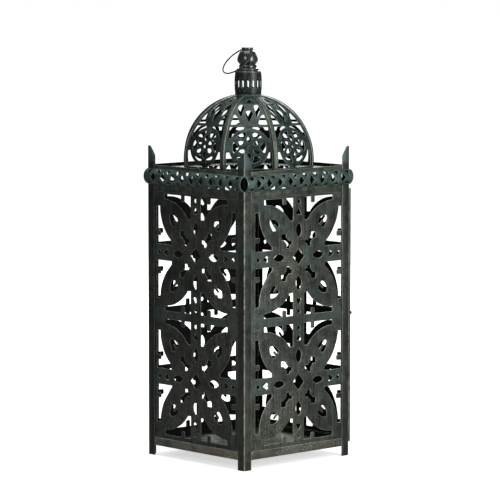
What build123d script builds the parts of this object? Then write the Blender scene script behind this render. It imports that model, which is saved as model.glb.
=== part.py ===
from build123d import *
import os
from math import sin, cos, tan, asin, acos, atan2, sqrt, pi, radians, degrees

# Moroccan-style square candle lantern in sheet steel.
# Frame: origin at the bottom centre, on the plane the four post feet stand on.
# +Z up, the four sides face -Y (front), +X (right), +Y (rear, the door) and -X (left).
# All lengths in millimetres.

os.makedirs("parts", exist_ok=True)

# ------------------------------------------------------------------ driving dimensions
body_width = 240.0          # outside of the corner posts
half = body_width / 2
post_flange = 16.0          # width of each flange of the angle post
post_t = 1.5                # thickness of the angle
post_shoulder_z = 507.0     # where the spike starts to taper
post_tip_z = 525.0          # tip of the spike
post_tip_w = 5.2            # flange width left at the tip

rail_z0, rail_z1 = 17.0, 31.0   # bottom rail
strip_out = half - 0.2          # outer plane of rails and cornice lips
panel_out = half - post_t       # outer plane of the fretwork sheets (behind the flanges)
panel_t = 1.2
panel_half = 117.0              # half width of a sheet
panel_z0, panel_z1 = 17.0, 460.0
floor_z, floor_t = 21.0, 1.0

lip_low_z0, lip_low_z1 = 448.5, 460.5   # flat lip under the half-round
band_z0, band_z1 = 460.5, 487.0         # pressed half-round
band_depth = 9.8
band_t = 1.0
rim_z1 = 493.0                          # top of the flat lip over the half-round
lattice_pitch = 24.0

roof_z, roof_t = 486.5, 1.0
roof_hole_r = 80.0

dome_r = 106.5              # radius of curvature of a gore (apothem of the octagonal dome)
dome_zc = 505.0             # height of the centre of curvature
dome_twist = 3.0            # the dome sits turned a little about Z
gore_t = 1.2
rib_w = 6.0
rib_out, rib_in = 1.2, 1.8  # a rib stands this far outside and inside the gore surface
crown_r = 23.0

collar_r, collar_t = 22.6, 1.2
collar_z0, collar_z1 = 611.5, 648.5
neck_z1, bulb_z1 = 661.5, 684.4
ring_axis_z = 686.8
ring_mean_r = 29.3
ring_wire_r = 1.2
ring_hole_half = 8.95       # distance from the cap's axis to the wall where the wire goes through
ring_azimuth = -8.0         # direction of the ring's hinge line, degrees from +X
ring_droop = 43.5           # how far the stored ring hangs below the horizontal
lean = (-0.678, -0.735)     # the pieces of the finial are stacked slightly off centre this way
lean_collar, lean_neck, lean_bulb, lean_cap = 0.5, 1.0, 1.5, 1.8

cell_half = 98.2            # half size of one square of fretwork
cell_z = (136.5, 347.0)     # heights of the two squares' centres
bar_v = 12.6                # half width of the upright bar
bar_h = 13.8                # half height of the level bar
peg_w, peg_l, peg_at = 8.7, 10.4, 32.5
pattern_shift = (-1.0, 4.2, 0.0)   # the sawn pattern is off centre on the front, right and left sheets

door_back = half + 0.3      # inner plane of the door's edge strips
door_strip_t = 2.6
door_sheet_t = 1.3
door_x0, door_x1 = -119.4, 119.4
door_z0, door_z1 = 23.5, 454.0
hinge_x, hinge_y = -122.4, 122.6
hinge_z = (96.0, 388.0)
knuckle_r, pin_r, pin_clear = 2.3, 1.2, 0.05
knob_x, knob_z = 112.25, 242.0


def save(shape, name):
    export_step(shape, f"parts/{name}.step")


# ------------------------------------------------------------------ flat outlines
def arc3(a, b, c):
    return Edge.make_three_point_arc(Vector(*a, 0), Vector(*b, 0), Vector(*c, 0))


def line(a, b):
    return Edge.make_line(Vector(*a, 0), Vector(*b, 0))


def loop(*items):
    """Closed wire from points; a tuple of two points is the middle and end of an arc."""
    edges, start, last = [], items[0], items[0]
    for it in items[1:]:
        if isinstance(it[0], (tuple, list)):
            edges.append(arc3(last, it[0], it[1]))
            last = it[1]
        else:
            edges.append(line(last, it))
            last = it
    if (last[0] - start[0]) ** 2 + (last[1] - start[1]) ** 2 > 1e-12:
        edges.append(line(last, start))
    return Wire(edges)


def xf(p, f):
    if isinstance(p[0], (tuple, list)):
        return tuple(f(q) for q in p)
    return f(p)


def window(f):
    """Opening beside the upright bar, between a petal and the frame, with one peg."""
    p0, p1 = peg_at - peg_w / 2, peg_at + peg_w / 2
    r, k = 2.6, 2.6 * (1 - sqrt(0.5))
    y0 = cell_half - peg_l
    pts = [
        (bar_v, cell_half), (p0, cell_half), (p0, y0 + r), ((p0 + k, y0 + k), (p0 + r, y0)), (p1 - r, y0), ((p1 - k, y0 + k), (p1, y0 + r)), (p1, cell_half),
        (78.0, cell_half), (78.0, 90.0), ((48.3, 83.4), (20.0, 60.4)), (bar_v, 60.4),
    ]
    return loop(*[xf(p, f) for p in pts])


def window_side(f):
    p0, p1 = peg_at - peg_w / 2, peg_at + peg_w / 2
    r, k = 2.6, 2.6 * (1 - sqrt(0.5))
    x0 = cell_half - peg_l
    pts = [
        (cell_half, bar_h), (cell_half, p0), (x0 + r, p0), ((x0 + k, p0 + k), (x0, p0 + r)), (x0, p1 - r), ((x0 + k, p1 - k), (x0 + r, p1)), (cell_half, p1),
        (cell_half, 78.0), (90.0, 78.0), ((83.4, 48.3), (60.4, 20.0)), (60.4, bar_h),
    ]
    return loop(*[xf(p, f) for p in pts])


def radial(f, pts):
    return loop(*[xf(p, f) for p in pts])


def cell_holes(cx, cz):
    """Every opening of one square of fretwork, centred on (cx, cz)."""
    out = []
    for sx in (1, -1):
        for sy in (1, -1):
            g = lambda p, sx=sx, sy=sy: (cx + sx * p[0], cz + sy * p[1])
            out.append(window(g))
            out.append(window_side(g))
            # leaf-shaped opening in the petal, point outwards, with a tongue reaching into it
            c = sqrt(0.5)
            h = lambda p, sx=sx, sy=sy: (cx + sx * (p[0] - p[1]) * c, cz + sy * (p[0] + p[1]) * c)
            out.append(radial(h, [
                (91.4, 0.0), ((86.0, -5.8), (78.2, -8.2)), ((71.6, -7.9), (69.4, -4.8)), (69.6, -2.5), (77.6, -2.3), ((80.0, 0.0), (77.6, 2.3)),
                (69.6, 2.5), (69.4, 4.8), ((71.6, 7.9), (78.2, 8.2)), ((86.0, 5.8), (91.4, 0.0)),
            ]))
            # slot with a forked inner end and a square outer end, between two bars
            out.append(radial(g, [
                (39.2, 39.2), (39.2, 28.8), (33.9, 28.8), (26.8, 21.7), (27.2, 15.2), (21.0, 15.2), (20.2, 20.2), (15.2, 21.0), (15.2, 27.2),
                (21.7, 26.8), (28.8, 33.9), (28.8, 39.2),
            ]))
    out.append(loop((cx + 13.0, cz), (cx, cz + 13.4), (cx - 13.0, cz), (cx, cz - 13.4)))
    for k in range(4):
        ck, sk = (1, 0, -1, 0)[k], (0, 1, 0, -1)[k]
        g = lambda p, ck=ck, sk=sk: (cx + ck * p[0] - sk * p[1], cz + sk * p[0] + ck * p[1])
        out.append(radial(g, [(32.2, 0.0), ((43.0, 6.1), (56.6, 0.0)), ((43.0, -6.1), (32.2, 0.0))]))
        out.append(radial(g, [(80.6, 0.0), (72.4, 5.5), ((69.4, 3.2), (71.6, 0.0)), ((69.4, -3.2), (72.4, -5.5))]))
        c = g((91.6, 0.0))
        out.append(Wire([Edge.make_circle(3.4, Plane(origin=(c[0], c[1], 0)))]))
    return out


def fret_sheet(x0, x1, z0, z1, t, shift=0.0):
    outer = loop((x0, z0), (x1, z0), (x1, z1), (x0, z1))
    holes = cell_holes(shift, cell_z[0]) + cell_holes(shift, cell_z[1])
    return extrude(Face(outer, holes), amount=t)


def upright(solid, y_outer):
    """Stands a sheet drawn in XY with its outer face on y = -y_outer, facing -Y."""
    pl = Plane(origin=(0, -y_outer, 0), x_dir=(1, 0, 0), z_dir=(0, -1, 0))
    return pl.location * Pos(0, 0, 0) * solid


def turned(shape, deg):
    return Rot(0, 0, deg) * shape


def box(x0, x1, y0, y1, z0, z1):
    return Pos((x0 + x1) / 2, (y0 + y1) / 2, (z0 + z1) / 2) * Box(x1 - x0, y1 - y0, z1 - z0)


def push(plane, wire, amount):
    """Extrudes a closed outline drawn in a plane along the plane's own normal."""
    return extrude(plane * Face(wire), amount=amount, dir=plane.z_dir)


def solid_of(shape):
    s = shape.solids()
    return s[0] if len(s) == 1 else Compound(s)


# ------------------------------------------------------------------ fretwork panels
for name, a, sh in (("fretwork_panel_front", 0, pattern_shift[0]), ("fretwork_panel_right", 90, pattern_shift[1]), ("fretwork_panel_left", 270, pattern_shift[2])):
    sheet = fret_sheet(-panel_half, panel_half, panel_z0, panel_z1, panel_t, sh)
    sheet = upright(Pos(0, 0, -panel_t) * sheet, panel_out)
    save(turned(sheet, a), name)

# ------------------------------------------------------------------ corner posts
def post():
    """Angle post of the front right corner: flanges on the -Y and +X sides."""
    e, s = half - post_flange, half
    body = box(e, s, -s, -s + post_t, 0, post_tip_z) + box(s - post_t, s, -s, -e, 0, post_tip_z)
    w = post_flange - post_tip_w
    h = post_tip_z - post_shoulder_z
    a = extrude(Plane(origin=(0, -s - 1, 0), x_dir=(1, 0, 0), z_dir=(0, -1, 0)) * make_face(
        Polyline((e - 1, post_shoulder_z), (e, post_shoulder_z), (e + w, post_tip_z), (e + w, post_tip_z + 1), (e - 1, post_tip_z + 1), close=True)), amount=-(post_t + 1 + 1e-3))
    b = extrude(Plane(origin=(s + 1, 0, 0), x_dir=(0, 1, 0), z_dir=(1, 0, 0)) * make_face(
        Polyline((-e + 1, post_shoulder_z), (-e, post_shoulder_z), (-e - w, post_tip_z), (-e - w, post_tip_z + 1), (-e + 1, post_tip_z + 1), close=True)), amount=-(post_t + 1 + 1e-3))
    return body - a - b


fr = post()
save(solid_of(fr), "corner_post_front_right")
save(solid_of(turned(fr, 270)), "corner_post_front_left")
save(solid_of(turned(fr, 180)), "corner_post_rear_left")
# the latch tongue goes in through an upright slot in this post's rear flange
slot = box(knob_x - 2.1, knob_x + 2.1, half - post_t - 1, half + 1, knob_z - 6.0, knob_z + 6.0)
save(solid_of(turned(fr, 90) - slot), "corner_post_rear_right")

# ------------------------------------------------------------------ bottom rails and floor
rail = box(-half + post_flange, half - post_flange, -strip_out, -panel_out, rail_z0, rail_z1)
for name, a in (("front", 0), ("right", 90), ("rear", 180), ("left", 270)):
    save(solid_of(turned(rail, a)), f"bottom_rail_{name}")

floor_half = panel_out - panel_t
floor = box(-floor_half, floor_half, -floor_half, panel_out, floor_z, floor_z + floor_t)
# clear of the rear posts' flanges
for sx in (1, -1):
    floor -= box(min(sx * 100, sx * 119), max(sx * 100, sx * 119), floor_half + 0.0, panel_out + 1, floor_z - 1, floor_z + 3)
save(solid_of(floor), "floor_plate")

# ------------------------------------------------------------------ cornice bands
zc = (band_z0 + band_z1) / 2


def cornice():
    oy = -half
    prof = Plane(origin=(-half, 0, 0), x_dir=(0, 1, 0), z_dir=(1, 0, 0))
    outer = loop((oy, band_z0), ((oy - band_depth, zc), (oy, band_z1)), (oy, band_z1 - band_t), ((oy - band_depth + band_t, zc), (oy, band_z0 + band_t)))
    tube = push(prof, outer, 2 * half)
    lips = box(-half + post_flange, half - post_flange, -strip_out, -panel_out, band_z1 - band_t, rim_z1)
    lips2 = box(-half + post_flange, half - post_flange, -strip_out, -panel_out, lip_low_z0, band_z0 + band_t)
    # feet of the half-round, folded back to the lips
    f1 = box(-half + post_flange, half - post_flange, -half - 0.6, -panel_out, band_z1 - band_t, band_z1)
    f2 = box(-half + post_flange, half - post_flange, -half - 0.6, -panel_out, band_z0, band_z0 + band_t)
    s = tube + lips + lips2 + f1 + f2
    cut = []
    front = Plane(origin=(0, -half - band_depth - 2, 0), x_dir=(1, 0, 0), z_dir=(0, -1, 0))
    for k in range(1, 10):
        u = -half + lattice_pitch * k
        cut.append(loop((u - 5.7, zc), (u, zc + 8.0), (u + 5.7, zc), (u, zc - 8.0)))
    for k in range(10):
        u = -half + 12 + lattice_pitch * k
        for s_ in (1, -1):
            cut.append(loop((u - 5.4, zc + s_ * 10.8), ((u, zc + s_ * 11.5), (u + 5.4, zc + s_ * 10.8)), (u, zc + s_ * 4.9)))
    tools = [push(front, w, -(band_depth + 3.0)) for w in cut]
    return s - tools


band = cornice()
for name, a in (("front", 0), ("right", 90), ("rear", 180), ("left", 270)):
    save(solid_of(turned(band, a)), f"cornice_band_{name}")

# ------------------------------------------------------------------ roof plate
roof = box(-panel_out, panel_out, -panel_out, panel_out, roof_z, roof_z + roof_t)
roof -= Pos(0, 0, roof_z) * Cylinder(roof_hole_r, 6)
save(solid_of(roof), "roof_plate")

# ------------------------------------------------------------------ dome
roof_top = roof_z + roof_t
th0 = asin((roof_top - dome_zc) / dome_r)
th1 = acos(crown_r / dome_r)
side_tan = tan(radians(22.5))


def half_w(th):
    """Half width of a gore from its middle line to the rib's side, at elevation th."""
    return dome_r * cos(th) * side_tan - (rib_w / 2) / cos(radians(22.5))


def on_gore(x, s):
    """Point of the outer gore surface facing +X, from the flat pattern's (x, arc length)."""
    th = s / dome_r
    return Vector(dome_r * cos(th), x, dome_zc + dome_r * sin(th))


def hole_tool(pts):
    """Cutter for one opening of the flat pattern, square to the sheet at its middle."""
    sm = (min(p[1] for p in pts) + max(p[1] for p in pts)) / 2
    th = sm / dome_r
    d = Vector(cos(th), 0, sin(th))
    pl = Plane(origin=Vector(0, 0, dome_zc) + d * (dome_r - 8), x_dir=(0, 1, 0), z_dir=d)
    loc = [pl.to_local_coords(on_gore(*p)) for p in pts]
    w = Wire.make_polygon([Vector(v.X, v.Y, 0) for v in loc], close=True)
    return push(pl, w, 26)


def lens(cx, cs, ang, length, width, n=5):
    """Pointed oval, its long axis at ang degrees from the x axis."""
    L, W = length / 2, width / 2
    pts = []
    for i in range(n + 1):
        t = -1 + 2 * i / n
        pts.append((t * L, W * (1 - t * t)))
    for i in range(1, n):
        t = 1 - 2 * i / n
        pts.append((t * L, -W * (1 - t * t)))
    a = radians(ang)
    return [(cx + x * cos(a) - y * sin(a), cs + x * sin(a) + y * cos(a)) for x, y in pts]


med_s = 24.5                # centre of the ring ornament, along the leaf from the springing line
med_r, med_in = 33.0, 27.6
bar_s0, bar_s1 = 60.5, 65.2


def gore_holes():
    H = []
    edge = lambda s: half_w(s / dome_r) - 2.6
    # rosette
    H.append([(3.3, med_s), (0, med_s + 3.9), (-3.3, med_s), (0, med_s - 3.9)])
    for k in range(6):
        a = 90 + 60 * k
        ca, sa = cos(radians(a)), sin(radians(a))
        H.append(lens(14.2 * ca, med_s + 14.2 * sa, a, 12.4, 7.6))
        b = a + 30
        rot = lambda r, t, b=b: (r * cos(radians(b + t)), med_s + r * sin(radians(b + t)))
        H.append([rot(16.6, 0), rot(19.2, 8.0), rot(22.6, 15.0), rot(26.2, 20.5), rot(27.6, 17.0), rot(27.6, 6.0), rot(27.6, -6.0), rot(27.6, -17.0), rot(26.2, -20.5), rot(22.6, -15.0), rot(19.2, -8.0)])
    # spaces between the ring and the ribs
    for sg in (1, -1):
        lo = [(sg * 33.8 * cos(radians(t)), med_s + 33.8 * sin(radians(t))) for t in (-14, -26, -38, -50, -62, -74, -84)]
        base = -11.0
        lo = [p for p in lo if p[1] > base + 1.2]
        lo += [(sg * 3.5, base), (sg * (edge(base)), base), (sg * edge(4), 4.0), (sg * edge(lo[0][1]), lo[0][1])]
        H.append(lo)
        up = [(sg * 33.8 * cos(radians(t)), med_s + 33.8 * sin(radians(t))) for t in (28, 40, 52, 64, 76)]
        up += [(sg * 5.2, 58.6), (sg * 6.2, bar_s0), (sg * edge(bar_s0), bar_s0), (sg * edge(50), 50.0), (sg * edge(up[0][1]), up[0][1])]
        H.append(up)
        # over the level bar
        H.append([(sg * 15.2, bar_s1), (sg * edge(bar_s1), bar_s1), (sg * edge(76), 76.0), (sg * edge(86), 86.0), (sg * (edge(86) - 2.4), 85.6), (sg * 19.0, 80.5), (sg * 16.8, 73.5)])
        # comma beside the middle drop
        H.append([(sg * x, y) for x, y in (
            (12.8, 79.5), (15.8, 86.2), (17.8, 92.5), (18.0, 99.5), (16.8, 106.0), (14.6, 110.6), (11.6, 111.8), (8.6, 109.6), (7.4, 105.2), (8.0, 100.2), (9.4, 95.2), (10.4, 90.2), (11.4, 85.2))])
    # middle drop and the small drop at the tip
    H.append([(0, 68.8), (2.9, 76.2), (5.7, 84.0), (6.4, 89.4), (4.8, 94.0), (0, 96.2), (-4.8, 94.0), (-6.4, 89.4), (-5.7, 84.0), (-2.9, 76.2)])
    H.append([(0, 113.5), (3.4, 119.5), (3.2, 125.2), (0, 130.2), (-3.2, 125.2), (-3.4, 119.5)])
    return H


def gore():
    """Singly curved leaf facing +X between two ribs."""
    sec = loop(
        (dome_r * cos(th0), dome_zc + dome_r * sin(th0)),
        ((dome_r * cos((th0 + th1) / 2), dome_zc + dome_r * sin((th0 + th1) / 2)), (dome_r * cos(th1), dome_zc + dome_r * sin(th1))),
        ((dome_r - gore_t) * cos(th1), dome_zc + (dome_r - gore_t) * sin(th1)),
        (((dome_r - gore_t) * cos((th0 + th1) / 2), dome_zc + (dome_r - gore_t) * sin((th0 + th1) / 2)), ((dome_r - gore_t) * cos(th0), roof_top)),
        (dome_r * cos(th0), roof_top),
    )
    shell = push(Plane(origin=(0, 60, 0), x_dir=(1, 0, 0), z_dir=(0, -1, 0)), sec, 120)
    # wedge between the sides of the two ribs
    o = (rib_w / 2) / sin(radians(22.5))
    far = 160.0
    wedge = extrude(make_face(Polyline((o, 0), (far, (far - o) * side_tan), (far, -(far - o) * side_tan), close=True)), amount=700)
    g = shell & wedge
    tools = [hole_tool(h) for h in gore_holes()]
    return g - tools


g0 = gore()
for i in range(8):
    save(solid_of(turned(g0, dome_twist - 45 + 45 * i)), f"dome_gore_{i + 1}")


def ellipse_pts(ro, t):
    k = 1 / cos(radians(22.5))
    return (ro * k * cos(t), dome_zc + ro * sin(t))


def rib():
    """Flat bar in the XZ plane, bent to the mitre line of two gores."""
    ro, ri = dome_r + rib_out, dome_r - rib_in
    a0, b0 = asin((roof_top - dome_zc) / ro), asin((roof_top - dome_zc) / ri)
    k = 1 / cos(radians(22.5))
    a1, b1 = acos(crown_r / (ro * k)), acos(crown_r / (ri * k))
    n = 28
    outer = [ellipse_pts(ro, a0 + (a1 - a0) * i / n) for i in range(n + 1)]
    inner = [ellipse_pts(ri, b1 + (b0 - b1) * i / n) for i in range(n + 1)]
    pl = Plane(origin=(0, 0, 0), x_dir=(1, 0, 0), z_dir=(0, -1, 0))
    eo = Edge.make_spline([Vector(*p, 0) for p in outer])
    ei = Edge.make_spline([Vector(*p, 0) for p in inner])
    w = Wire([eo, line(outer[-1], inner[0]), ei, line(inner[-1], outer[0])])
    return extrude(pl * Face(w), amount=rib_w / 2, both=True)


r0 = rib()
for i in range(8):
    save(solid_of(turned(r0, dome_twist - 22.5 + 45 * i)), f"dome_rib_{i + 1}")

# ------------------------------------------------------------------ crown ring, collar, finial
def lathe(pts):
    """Turned part from (radius, height) points; a pair of points is an arc."""
    pl = Plane(origin=(0, 0, 0), x_dir=(1, 0, 0), z_dir=(0, -1, 0))
    return revolve(pl * Face(loop(*pts)), axis=Axis.Z)


crown_z0 = dome_zc + sqrt((dome_r - rib_in) ** 2 - (crown_r * cos(radians(22.5))) ** 2) - 1.0
crown_out = (dome_r - gore_t) * cos(th1) - 0.02
save(solid_of(lathe([(16.5, crown_z0), (crown_out, crown_z0), (crown_out, collar_z0), (16.5, collar_z0)])), "crown_ring")

ci = collar_r - collar_t
collar = lathe([
    (ci, collar_z0), (collar_r - 0.9, collar_z0), ((collar_r + 0.5, (collar_z0 + collar_z1) / 2), (collar_r - 0.9, collar_z1)), (ci - 0.4, collar_z1),
])
slot_z, slot_half = 628.5, 4.5
tools = []
for k in range(16):
    a = 22.5 * k
    tools.append(Rot(0, 0, a) * Pos(collar_r, 0, slot_z) * Box(8, 4.4, 2 * slot_half))
    for dz in (-slot_half, slot_half):
        tools.append(Rot(0, 0, a) * Pos(collar_r, 0, slot_z + dz) * Rot(0, 90, 0) * Cylinder(2.2, 8))
    for z in (639.0, 618.8):
        tools.append(Rot(0, 0, a + 11.25) * Pos(collar_r, 0, z) * Rot(0, 90, 0) * Cylinder(1.5, 8))
off = lambda k: Pos(lean[0] * k, lean[1] * k, 0)
save(solid_of(off(lean_collar) * (collar - tools)), "collar")

# shoulder and two beads, spun hollow
n0 = collar_z1
save(solid_of(off(lean_neck) * lathe([
    (20.4, n0), (21.9, n0), ((22.0, n0 + 0.9), (20.9, n0 + 2.2)), (18.0, n0 + 3.4), ((18.6, n0 + 4.9), (16.9, n0 + 6.5)), (14.4, n0 + 7.7),
    ((15.0, n0 + 10.4), (13.7, n0 + 12.5)), (13.3, neck_z1), (12.0, neck_z1), (12.4, n0 + 8.5), (15.2, n0 + 5.5), (15.9, n0 + 2.9), (19.6, n0 + 1.2),
])), "finial_neck")

# egg-shaped bulb, spun hollow and open at both ends
save(solid_of(off(lean_bulb) * lathe([
    (12.0, neck_z1), (13.3, neck_z1), ((15.6, 664.4), (17.4, 668.0)), ((16.9, 672.6), (15.2, 677.6)), ((13.9, 680.4), (12.0, 682.9)), (9.9, bulb_z1),
    (8.4, bulb_z1), (10.8, 682.3), ((12.7, 679.9), (14.0, 677.1)), ((15.6, 672.2), (16.1, 668.3)), ((14.4, 665.4), (12.0, neck_z1)),
])), "finial_bulb")

# cap: a shallow cup over the bulb's mouth; the wire of the ring goes through its wall
cap = lathe([
    (8.45, bulb_z1), (9.4, bulb_z1), ((9.75, 686.6), (9.5, 688.7)), ((9.1, 689.9), (8.1, 690.4)), (0, 690.7), (0, 689.8), (7.9, 689.6), ((8.4, 689.2), (8.55, 688.4)),
])
ax = Rot(0, 0, ring_azimuth)
for s_ in (1, -1):
    cap -= ax * Pos(s_ * ring_hole_half, 0, ring_axis_z) * Rot(0, 90, 0) * Cylinder(1.9, 5)
save(solid_of(off(lean_cap) * cap), "finial_cap")

# ------------------------------------------------------------------ hanging ring
d_ring = sqrt(ring_mean_r ** 2 - ring_hole_half ** 2)
az = radians(ring_azimuth)
hdir = Vector(cos(az), sin(az), 0)
side = Vector(sin(az), -cos(az), 0)
dr = radians(ring_droop)
u = side * cos(dr) + Vector(0, 0, -sin(dr))
pivot = Vector(lean[0] * lean_cap, lean[1] * lean_cap, ring_axis_z)
centre = pivot + u * d_ring
ring_plane = Plane(origin=centre, x_dir=hdir, z_dir=hdir.cross(u))
ring = ring_plane.location * Torus(ring_mean_r, ring_wire_r)
save(solid_of(ring), "hanging_ring")

# ------------------------------------------------------------------ door
yb = door_back
ys = door_back + door_strip_t
yo = ys + door_sheet_t
w = 9.0
dsheet = fret_sheet(door_x0, door_x1, door_z0, door_z1, door_sheet_t)
dsheet = turned(upright(Pos(0, 0, -door_sheet_t) * dsheet, yo), 180)
hole = Pos(knob_x, yo, knob_z) * Rot(90, 0, 0) * Cylinder(1.6, 12)
save(solid_of(dsheet - hole), "door_panel")
# edge strips behind the sheet: they space it off the posts
save(solid_of(box(door_x0, door_x0 + w, yb, ys, door_z0, door_z1)), "door_stile_hinge_side")
free = box(door_x1 - w, door_x1, yb, ys, door_z0, door_z1)
free -= Pos(knob_x, yb + 1, knob_z) * Rot(90, 0, 0) * Cylinder(1.6, 12)
save(solid_of(free), "door_stile_free_side")
save(solid_of(box(door_x0 + w, door_x1 - w, yb, ys, door_z0, door_z0 + w)), "door_rail_lower")
save(solid_of(box(door_x0 + w, door_x1 - w, yb, ys, door_z1 - w, door_z1)), "door_rail_upper")

# knob with its shank, and the flat tongue riveted on the shank's end
yt = half - post_t          # inner face of the post's flange
shank_len = yo + 0.05 - (yt - 0.4)
knob_prof = [(0, -shank_len), (1.53, -shank_len), (1.53, 0), (3.0, 0), (3.0, 0.8), (1.9, 1.4), (1.7, 3.4), ((3.1, 4.3), (3.3, 5.8)), ((2.9, 7.4), (1.6, 8.3)), (0, 8.3)]
kn = Pos(knob_x, yo + 0.05, knob_z) * Rot(-90, 0, 0) * lathe(knob_prof)
save(solid_of(kn), "door_knob")
tongue = box(knob_x - 1.55, knob_x + 1.55, yt - 2.0, yt - 0.4, knob_z - 4.7, knob_z + 4.7)
save(solid_of(tongue), "latch_tongue")

# ------------------------------------------------------------------ hinges
rivets_f, rivets_d, pins = [], [], []
kl = 7.0
gap = 0.3
for nm, hz in zip(("lower", "upper"), hinge_z):
    def knuckle(z0, z1):
        return Pos(hinge_x, hinge_y, (z0 + z1) / 2) * Cylinder(knuckle_r, z1 - z0)
    bore = Pos(hinge_x, hinge_y, hz) * Cylinder(pin_r + pin_clear, 40)
    lo, hi = hz - 1.5 * kl, hz + 1.5 * kl
    m0, m1 = hz - kl / 2, hz + kl / 2
    plate = box(-half - 1.0, -half, 106.0, 121.2, lo, hi)
    relief = Pos(hinge_x, hinge_y, hz) * Cylinder(knuckle_r + 0.4, kl + 2 * gap)
    fl = plate - relief + knuckle(lo, m0 - gap) + knuckle(m1 + gap, hi)
    fl = fl - bore
    save(solid_of(fl), f"hinge_frame_leaf_{nm}")
    dplate = box(-121.6, -106.0, yo, yo + 0.8, lo, hi)
    rel1 = Pos(hinge_x, hinge_y, (lo + m0 - gap) / 2) * Cylinder(knuckle_r + 0.4, m0 - gap - lo + 2 * gap)
    rel2 = Pos(hinge_x, hinge_y, (hi + m1 + gap) / 2) * Cylinder(knuckle_r + 0.4, hi - m1 - gap + 2 * gap)
    dl = dplate - rel1 - rel2 + knuckle(m0, m1)
    dl = dl - bore
    save(solid_of(dl), f"hinge_door_leaf_{nm}")
    pin = Pos(hinge_x, hinge_y, hz) * Cylinder(pin_r, 3 * kl)
    pin += Pos(hinge_x, hinge_y, hi + 0.5) * Cylinder(1.9, 1.0)
    pin += Pos(hinge_x, hinge_y, lo - 0.5) * Cylinder(1.9, 1.0)
    pins.append(solid_of(pin))
    for z in (hz - 6.0, hz + 6.0):
        rivets_f.append(Pos(-half - 1.0 - 0.4, 110.5, z) * Rot(0, 90, 0) * Cylinder(1.8, 0.8))
        rivets_d.append(Pos(-111.0, yo + 0.8 + 0.4, z) * Rot(90, 0, 0) * Cylinder(1.8, 0.8))
save(Compound([s for p in pins for s in p.solids()]), "hinge_pins")
save(Compound([s for p in rivets_f for s in p.solids()]), "hinge_rivets_frame")
save(Compound([s for p in rivets_d for s in p.solids()]), "hinge_rivets_door")
print("dome springing angle", degrees(th0), "crown", degrees(th1), "crown ring from", crown_z0)
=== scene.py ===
import math
import random

import bmesh
import bpy
import numpy as np
from mathutils import Matrix, Vector, noise


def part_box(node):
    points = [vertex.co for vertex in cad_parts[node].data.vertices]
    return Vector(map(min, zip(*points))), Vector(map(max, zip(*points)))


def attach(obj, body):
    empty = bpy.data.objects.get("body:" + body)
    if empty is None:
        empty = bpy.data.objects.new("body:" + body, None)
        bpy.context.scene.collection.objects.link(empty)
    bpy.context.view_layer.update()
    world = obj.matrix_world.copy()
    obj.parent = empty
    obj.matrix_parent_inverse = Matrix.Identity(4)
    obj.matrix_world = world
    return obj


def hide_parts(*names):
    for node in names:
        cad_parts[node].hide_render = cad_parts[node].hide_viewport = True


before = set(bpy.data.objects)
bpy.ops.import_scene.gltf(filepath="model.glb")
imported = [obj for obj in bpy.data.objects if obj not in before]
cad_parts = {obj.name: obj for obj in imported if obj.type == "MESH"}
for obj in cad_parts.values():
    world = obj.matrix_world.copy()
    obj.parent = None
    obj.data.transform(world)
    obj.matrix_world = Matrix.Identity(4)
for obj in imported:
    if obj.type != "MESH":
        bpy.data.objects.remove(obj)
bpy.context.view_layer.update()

MM = 0.001
random.seed(11)

# The pattern is worked out in millimetres in the row frame: origin at the bottom centre,
# +Z up, sides facing -Y, +X, +Y (door) and -X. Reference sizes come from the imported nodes.


def nbox(node):
    lo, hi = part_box(node)
    return [v / MM for v in lo], [v / MM for v in hi]


post_lo, post_hi = nbox("corner_post_front_right")
HALF = post_hi[0]
POST_TOP = post_hi[2]
FLANGE = post_hi[0] - post_lo[0]
pan_lo, pan_hi = nbox("fretwork_panel_front")
PANEL_OUT = -pan_lo[1]
rail_lo, rail_hi = nbox("bottom_rail_front")
roof_lo, roof_hi = nbox("roof_plate")
floor_lo, floor_hi = nbox("floor_plate")
collar_lo, collar_hi = nbox("collar")
crown_lo, crown_hi = nbox("crown_ring")
door_lo, door_hi = nbox("door_panel")
band_lo, band_hi = nbox("cornice_band_front")

# ------------------------------------------------------------------ outline helpers


def arc(a, b, c, step=1.6):
    """Points after a up to c on the circle through a, b and c."""
    ax, ay = a
    bx, by = b
    cx, cy = c
    d = 2 * (ax * (by - cy) + bx * (cy - ay) + cx * (ay - by))
    if abs(d) < 1e-9:
        return [b, c]
    ux = ((ax * ax + ay * ay) * (by - cy) + (bx * bx + by * by) * (cy - ay) + (cx * cx + cy * cy) * (ay - by)) / d
    uy = ((ax * ax + ay * ay) * (cx - bx) + (bx * bx + by * by) * (ax - cx) + (cx * cx + cy * cy) * (bx - ax)) / d
    r = math.hypot(ax - ux, ay - uy)
    t0 = math.atan2(ay - uy, ax - ux)
    tb = math.atan2(by - uy, bx - ux)
    t1 = math.atan2(cy - uy, cx - ux)
    two = 2 * math.pi
    ccw = ((tb - t0) % two) < ((t1 - t0) % two)
    sweep = (t1 - t0) % two if ccw else -((t0 - t1) % two)
    n = max(2, int(abs(sweep) * r / step) + 1)
    n = max(n, int(abs(sweep) / 0.3) + 1)
    return [(ux + r * math.cos(t0 + sweep * i / n), uy + r * math.sin(t0 + sweep * i / n)) for i in range(1, n + 1)]


def outline(*items):
    """Closed outline from points; a pair of points is the middle and end of an arc."""
    pts = [items[0]]
    for it in items[1:]:
        if isinstance(it[0], (tuple, list)):
            pts += arc(pts[-1], it[0], it[1])
        else:
            pts.append(it)
    if math.hypot(pts[0][0] - pts[-1][0], pts[0][1] - pts[-1][1]) < 1e-6:
        pts.pop()
    return pts


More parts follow.
